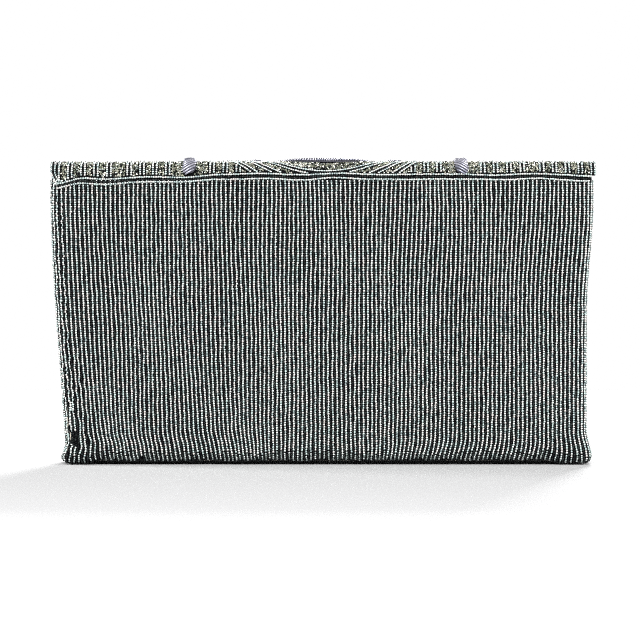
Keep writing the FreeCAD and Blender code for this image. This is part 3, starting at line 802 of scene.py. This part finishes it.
def crystal_places():
    """Crystals fill what the strings and bands leave, at uneven places."""
    step = 0.90 * MM
    grid_x = np.arange(-FLAP_HALF - 2 * MM, FLAP_HALF + 2 * MM, step)
    grid_v = np.arange(-2 * MM, FLAP.length - 3 * MM, step * 0.87)
    across, along = np.meshgrid(grid_x, grid_v)
    across = across + (np.arange(len(grid_v)) % 2 * step / 2)[:, None]
    across = across + rng.normal(0, 0.14 * MM, across.shape)
    along = along + rng.normal(0, 0.14 * MM, along.shape)
    across, along = across.ravel(), along.ravel()
    away = from_motif(across, along)
    clear = 0.86 * MM
    pairs = np.abs(np.abs(across)[:, None] - pair_places()[None]).min(1)
    field = in_pair_field(across, along)
    ok = ~(field & (pairs < PAIR_GAP + clear))
    ok &= swag_distance(across, along) > BAND_HALF + 0.1 * MM
    ok &= np.abs(away - RING) > BAND_HALF + 0.3 * MM
    circles = np.abs(away[:, None] - np.array(CIRCLES)[None]).min(1)
    ok &= circles > PAIR_GAP + clear
    ok &= within_flap(across, along, 0.80 * MM)
    ok &= ~((away > 12.4 * MM) & (away < RING))
    return across[ok], along[ok]


def icosahedron():
    """Points and faces of the cut stone."""
    golden = (1 + 5**0.5) / 2
    points = [(0, a, b * golden) for a in (-1, 1) for b in (-1, 1)]
    points += [(b, c, a) for a, b, c in points] + [(c, a, b) for a, b, c in points]
    points = np.array(points) / math.hypot(1, golden)
    gaps = np.linalg.norm(points[:, None] - points[None], axis=-1)
    near = (gaps > 0.1) & (gaps < 1.1)
    trios = combinations(range(12), 3)
    faces = np.array([(i, j, k) for i, j, k in trios if near[i, j] and near[j, k] and near[i, k]])
    a, b, c = (points[faces[:, n]] for n in range(3))
    inward = np.einsum("ij,ij->i", np.cross(b - a, c - a), a) < 0
    faces[inward] = faces[inward][:, ::-1]
    return points, faces


def make_crystals():
    """Small cut stones, each turned its own way and in one of five tones."""
    across, along = crystal_places()
    solid, faces = icosahedron()
    base, _ = motif_sheet(across, along, -0.55 * MM + rng.normal(0, 0.09 * MM, len(across)))
    size = rng.uniform(0.44, 0.56, len(across)) * MM
    spin = rng.normal(size=(len(across), 4))
    spin /= np.linalg.norm(spin, axis=1, keepdims=True)
    w, x, y, z = spin.T
    turn = np.stack(
        [
            stack(1 - 2 * (y * y + z * z), 2 * (x * y - z * w), 2 * (x * z + y * w)),
            stack(2 * (x * y + z * w), 1 - 2 * (x * x + z * z), 2 * (y * z - x * w)),
            stack(2 * (x * z - y * w), 2 * (y * z + x * w), 1 - 2 * (x * x + y * y)),
        ],
        1,
    )
    points = base[:, None] + np.einsum("nij,pj->npi", turn, solid) * size[:, None, None]
    per_piece = PIECE_LIMIT // len(faces)
    order = np.argsort(across)
    for number, first in enumerate(range(0, len(order), per_piece), 1):
        chosen = order[first : first + per_piece]
        index = faces[None] + (np.arange(len(chosen)) * len(solid))[:, None, None]
        tone = rng.choice(len(CRYSTAL), len(chosen), p=(0.3, 0.24, 0.16, 0.2, 0.1))
        piece = make_object(
            f"flap_crystals_{number}",
            points[chosen].reshape(-1, 3),
            [index.reshape(-1, 3)],
            CRYSTAL,
            [np.repeat(tone, len(faces))],
            flat=True,
        )
        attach(piece, "flap")


def hem(depth, inset):
    """The lift of a layer at a depth, that rises as the flap thins to its edges."""

    def lift(across, along):
        sides = FLAP_HALF - np.abs(across)
        foot = FLAP.length + inset - along
        thinned = 1 - smooth(0.6 * MM, 2.7 * MM, np.minimum(sides, foot))
        return -depth + 1.5 * MM * thinned

    return lift


def flap_slab(name, inset, top, under, material, start):
    """A layer of the flap, cut to its bowed lower edge."""

    def bowed(across, along, lift=0.0):
        end = flap_edge(across) - inset
        share = (along - start) / (FLAP.length - start)
        return flap_sheet(across, start + share * (end - start), lift)

    along = np.linspace(start, FLAP.length, 150)
    return slab(name, bowed, FLAP_HALF - inset, along, top, under, material)


def make_flap():
    sew("flap_beads", "flap", motif_sheet, flap_strings())
    sew("flap_border", "flap", flap_sheet, border_strings())
    make_crystals()
    under = hem(3.38 * MM, 0.3 * MM)
    cloth = flap_slab("flap_cloth", 0.3 * MM, -0.95 * MM, under, CLOTH, 1.2 * MM)
    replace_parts(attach(cloth, "flap"), "flap_panel")
    outside, inside = 3.40 * MM, 3.92 * MM  # depths of the satin's two faces
    over, under = hem(outside, 1.0 * MM), hem(inside, 1.0 * MM)
    lining = flap_slab("flap_satin", 1.0 * MM, over, under, SATIN, 1.5 * MM)
    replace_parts(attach(lining, "flap"), "flap_lining")


# -------- raised bands


def ring_route(run):
    """Point, way out and way on of the ring at a distance run along it."""
    turn = run / RING
    point = np.array([RING * math.sin(turn), MOTIF - RING * math.cos(turn)])
    out = np.array([math.sin(turn), -math.cos(turn)])
    return point, out, np.array([math.cos(turn), math.sin(turn)])


def swag_route(run):
    """The same for one half of the swag, from its end at the seam to its middle."""
    rise = MOTIF - SWAG_START - 0.6 * MM
    if run < rise:
        return np.array([SWAG, MOTIF - rise + run]), np.array([1.0, 0.0]), np.array([0.0, 1.0])
    turn = (run - rise) / SWAG
    out = np.array([math.cos(turn), math.sin(turn)])
    return np.array([0.0, MOTIF]) + SWAG * out, out, np.array([-out[1], out[0]])


def purl(centre, out, on, slant, scale, mirror):
    """One slanting purl over the band's padding: a fine coil of wire."""
    sides, rings, thick = 7, 17, 0.56 * MM
    share = np.linspace(-1, 1, rings)
    reach = (BAND_HALF - 0.45 * MM) * scale
    place = centre + np.outer(share * reach, out) + np.outer(share * reach * slant, on)
    crown = (BAND_HEIGHT - 0.55 * MM) * scale
    lift = 0.25 * MM + crown * np.sqrt(1 - 0.94 * share**2)
    across = place[:, 0] * mirror
    point, normal = motif_sheet(across, place[:, 1], lift)
    tangent, side = frame_along(point, normal)
    radius = thick * np.where(np.arange(rings) % 2, 1.0, 0.86)  # the wire's turns
    radius[[0, -1]] *= 0.6
    angles = 2 * np.pi * np.arange(sides) / sides
    return rings_round(point, side, np.cross(side, tangent), angles, radius)


def band_section(centre, out, scale, mirror):
    """Outline of the padding, domed over a flat foot in the cloth."""
    turn = np.linspace(0, np.pi, 11)
    share = np.concatenate([np.cos(turn), [-0.5, 0.0, 0.5]])
    height = np.concatenate([np.sin(turn), [0.0, 0.0, 0.0]])
    place = centre + np.outer(share * (BAND_HALF - 0.5 * MM) * scale, out)
    lift = -0.3 * MM + (BAND_HEIGHT - 0.2 * MM) * scale * height
    section, _ = motif_sheet(place[:, 0] * mirror, place[:, 1], lift)
    return section[:: int(mirror)]


def make_band(name, node, route, length, closed):
    """A padded band: its core, and purls laid over it side by side at a slant."""
    tubes = []
    count = round(length / PURL_PITCH)
    spacing = length / count
    for mirror in (1, -1):
        runs = np.linspace(0.0, length, 160 if closed else 190)
        sections = [band_section(*route(r)[:2], end_scale(r, closed), mirror) for r in runs]
        core = loft(f"{name}_core_{'left' if mirror > 0 else 'right'}", sections, PADDING)
        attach(core, "flap")
        for i in range(count):
            run = (i + 0.5) * spacing
            to_join = min(length - run, run) if closed else length - run
            tilt = -0.55 * min(to_join / (6 * MM), 1.0)
            centre, out, on = route(run)
            tube = purl(centre, out, on, tilt, end_scale(run, closed), mirror)
            tone = rng.choice(3, p=(0.45, 0.35, 0.2))
            tubes.append((tube, tone, tone))
    piece = merge_tubes(f"{name}_purls", tubes, LILAC)
    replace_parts(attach(piece, "flap"), node)


def end_scale(run, closed):
    """A band's size at a place: it swells a little towards a free end, and is round
    there."""
    if closed:
        return 1.0
    swell = 1 + 0.30 * math.exp(-(((run - 3.4 * MM) / (3 * MM)) ** 2))
    return swell * (0.35 + 0.65 * math.sqrt(min(run / (2.4 * MM), 1.0)))


def make_bands():
    make_band("ring", "trim_ring", ring_route, math.pi * RING, True)
    half = MOTIF - SWAG_START - 0.6 * MM + SWAG * math.pi / 2
    make_band("swag", "trim_swag", swag_route, half, False)


# -------- seams


def make_seams():
    """Two silver rows along the hinge with a dark row between them, and the row that
    finishes the flap's lower edge."""
    silver = Thread(SILVER, width=1.12 * MM, lift=0.30 * MM)
    across = np.linspace(-WALL_HALF + 3.4 * MM, WALL_HALF - 3.4 * MM, 500)
    wave = 0.20 * MM * ripple(across, across * 0, 0.03, 41)
    below = 2.15 * MM - seam_rise(across) + wave
    between = Thread(DARK, lift=0.0)
    rows = (("seam_beads", below, silver), ("hinge_beads", below - 1.05 * MM, between))
    lower = [sew(n, "root", wall_sheet, [(stack(across, d), t)])[0] for n, d, t in rows]
    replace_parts(lower[0], "seam_string")
    across = np.linspace(-FLAP_HALF + 2.0 * MM, FLAP_HALF - 2.0 * MM, 500)
    upper = [(stack(across, seam_rise(across)), silver)]
    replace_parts(sew("flap_seam_beads", "flap", flap_sheet, upper)[0], "flap_string")

    span = np.linspace(-FLAP_HALF + 1.2 * MM, FLAP_HALF - 1.2 * MM, 600)
    last = Thread(SILVER, width=1.15 * MM, lift=0.0)
    edge = [(stack(span, flap_edge(span) - 1.0 * MM), last)]
    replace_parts(sew("edge_beads", "flap", flap_sheet, edge)[0], "edge_string")


def make_hinge_cloth():
    """The cloth strip that joins the flap to the back wall, and the lining's bridge behind it."""
    low, high = SEAM - 1.9 * MM, SEAM + 1.7 * MM
    for name, half, outer, inner, material in (
        ("hinge_cloth", WALL_HALF - 1.6 * MM, 0.8 * MM, 2.9 * MM, CLOTH),
        ("hinge_satin", FLAP_HALF - 3.2 * MM, 2.95 * MM, 3.6 * MM, SATIN),
    ):
        x = np.linspace(-half, half, 41)
        sections = []
        for z in np.linspace(low, high, 25):
            level = np.full_like(x, z)
            front = stack(x, np.full_like(x, BACK - outer), level)
            back = stack(x[::-1], np.full_like(x, BACK - inner), level)
            sections.append(np.concatenate([front, back]))
        strip = loft(name, sections, material)
        start, end = (0, BACK, low + 0.8 * MM), (0, BACK, high - 0.6 * MM)
        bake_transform(strip)
        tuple(start)
        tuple(end)


# -------- lining and pocket


def satin_panel(name, node, face, toward, lean=0.0):
    """A sewn-in panel of satin as wide and tall as its node, uneven as cloth is, and
    held flat by the stitches round its edges."""
    low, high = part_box(node)
    held, thick = 12 * MM, 0.45 * MM
    x = np.linspace(low.x, high.x, 121)
    sections = []
    for z in np.linspace(low.z, high.z, 71):
        edge = smooth(0, held, x - low.x) * smooth(0, held, high.x - x)
        edge = edge * smooth(0, held, z - low.z + 1e-9) * smooth(0, held, high.z - z + 1e-9)
        wave = 0.30 * MM * (ripple(x, z, 0.045, 61) + 0.4 * ripple(x * 3, z, 0.05, 62) + 0.9)
        y = face + z * math.tan(lean) + toward * (0.06 * MM + edge * wave)
        near = stack(x, y, np.full_like(x, z))
        far = stack(x[::-1], (y - toward * thick)[::-1], np.full_like(x, z))
        sections.append(np.concatenate([near, far]))
    order = sections if toward < 0 else sections[::-1]
    piece = loft(name, order, SATIN)
    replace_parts(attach(piece, "root"), node)


def make_linings():
    satin_panel("back_satin", "back_lining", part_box("back_lining")[0].y, -1)
    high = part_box("front_lining")[1]
    face = high.y - high.z * math.tan(LEAN)
    satin_panel("front_satin", "front_lining", face, 1, LEAN)
    satin_panel("pocket_satin", "slip_pocket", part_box("slip_pocket")[0].y, -1)
    make_pocket_binding()
    make_mouth_binding()


def make_pocket_binding():
    """A bound edge: a flat ribbon with a soft round at its top."""
    low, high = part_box("pocket_binding")
    x = np.linspace(low.x, high.x, 120)
    sections = []
    deep = high.y - low.y
    for place in x:
        sag = 0.12 * MM * ripple(np.array(place), np.array(0.0), 0.02, 71)
        outline = [
            (low.y - 0.3 * MM, low.z),
            (low.y - 0.3 * MM, high.z - deep),
            (low.y + 0.2 * deep, high.z + 0.3 * MM),
            (high.y, high.z + 0.3 * MM),
            (high.y, low.z),
        ]
        sections.append([(place, y, z + sag) for y, z in outline])
    piece = loft("pocket_ribbon", sections, RIBBON)
    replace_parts(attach(piece, "root"), "pocket_binding")


def make_mouth_binding():
    """Ribbon folded over the front wall's top edge."""
    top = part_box("mouth_binding")[1].z
    drop, bend = 3.2 * MM, 1.2 * MM
    front, back = front_face(top) - 0.35 * MM, front_face(top) + 4.35 * MM
    middle, half, slip = (front + back) / 2, (back - front) / 2, drop * math.tan(LEAN)
    turns = np.linspace(0, math.pi, 9)
    arc = [(middle - half * math.cos(a), top - bend * (1 - math.sin(a))) for a in turns]
    sections = []
    for x in np.linspace(-WALL_HALF + 3 * MM, WALL_HALF - 3 * MM, 160):
        wave = 0.15 * MM * float(ripple(np.array(x), np.array(0.0), 0.02, 73))
        outline = [(front - slip, top - drop)] + arc + [(back - slip, top - drop)]
        sections.append([(x, y, z + wave) for y, z in outline])
    piece = loft("mouth_ribbon", sections, RIBBON)
    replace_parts(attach(piece, "root"), "mouth_binding")


def finish_nodes():
    """The CAD pieces whose own shape shows keep it, and get their finish."""
    finish = {
        NICKEL: ("snap_cup", "socket_plate", "socket_washer", "snap_stud", "stud_washer"),
        FERRITE: ("snap_magnet",),
        BOARD: ("back_board", "front_board", "base_board", "flap_interlining"),
        SATIN: ("base_lining",),
    }
    for material, names in finish.items():
        for name in names:
            data = frame["nodes"][name].data
            data.materials.clear()
            data.materials.append(material)


# -------- stage


def area_light(name, place, aim, size, power):
    data = bpy.data.lights.new(name, "AREA")
    data.shape = "RECTANGLE"
    data.size, data.size_y = size
    data.energy = power
    lamp = bpy.data.objects.new(name, data)
    lamp.location = place
    lamp.rotation_euler = (Vector(aim) - Vector(place)).to_track_quat("-Z", "Y").to_euler()
    bpy.context.scene.collection.objects.link(lamp)


def make_sky(tree):
    """A bright sweep round the horizon, and a dim ceiling for the beads to reflect."""
    place = tree.nodes.new("ShaderNodeTexCoord")
    split = tree.nodes.new("ShaderNodeSeparateXYZ")
    ramp = colour_ramp(tree, (0.14, (1, 1, 1)), (0.34, (0.18, 0.18, 0.187)))
    tree.links.new(place.outputs["Generated"], split.inputs[0])
    tree.links.new(split.outputs["Z"], ramp.inputs["Fac"])
    tree.links.new(ramp.outputs["Color"], tree.nodes["Background"].inputs["Color"])


def make_stage():
    """A pale round floor, the sky, and four soft lamps."""
    scene = bpy.context.scene
    floor_mesh = bpy.data.meshes.new("floor")
    turns = np.linspace(0, 2 * np.pi, 64, endpoint=False)
    rim = [(0.8 * math.cos(t), 0.8 * math.sin(t), 0.0) for t in turns]
    floor_mesh.from_pydata(rim, [], [range(64)])
    floor = bpy.data.objects.new("floor", floor_mesh)
    floor.location.z = -0.2 * MM
    floor_mesh.materials.append(new_material("floor", (0.5, 0.5, 0.5), roughness=0.9))
    scene.collection.objects.link(floor)

    world = bpy.data.worlds.new("studio")
    world.use_nodes = True
    make_sky(world.node_tree)
    scene.world = world
    middle = (0, 0, 0.07)
    area_light("key_back", (0.15, 1.4, 0.65), middle, (0.7, 0.5), 41)
    area_light("key_front", (-0.3, -1.4, 0.75), middle, (0.5, 0.4), 38)
    area_light("side_left", (-1.3, 0.3, 0.6), middle, (0.4, 0.4), 14)
    area_light("side_right", (1.3, -0.3, 0.6), middle, (0.4, 0.4), 14)
    scene.view_settings.view_transform = "Standard"
    scene.cycles.filter_width = 0.9
    scene.cycles.use_denoising = False  # it smears beads that are two pixels wide


def make_camera():
    """Behind the bag, nearly level, with a long lens."""
    data = bpy.data.cameras.new("camera")
    data.lens = 150
    data.sensor_width = 36
    seen = 0.2918  # width of the view at the bag
    distance = seen / data.sensor_width * data.lens
    rise = math.radians(1.0)
    # the bag stands a little off the middle of the view
    target = Vector((1.4 * MM, BACK, TOP / 2 - 3.4 * MM))
    camera = bpy.data.objects.new("camera", data)
    camera.location = target + Vector((0, math.cos(rise), math.sin(rise))) * distance
    camera.rotation_euler = (target - camera.location).to_track_quat("-Z", "Y").to_euler()
    bpy.context.scene.collection.objects.link(camera)
    bpy.context.scene.camera = camera


make_camera()
make_stage()
make_walls()
make_gusset(1, "right")
make_gusset(-1, "left")
make_flap()
make_bands()
make_seams()
make_hinge_cloth()
make_linings()
finish_nodes()
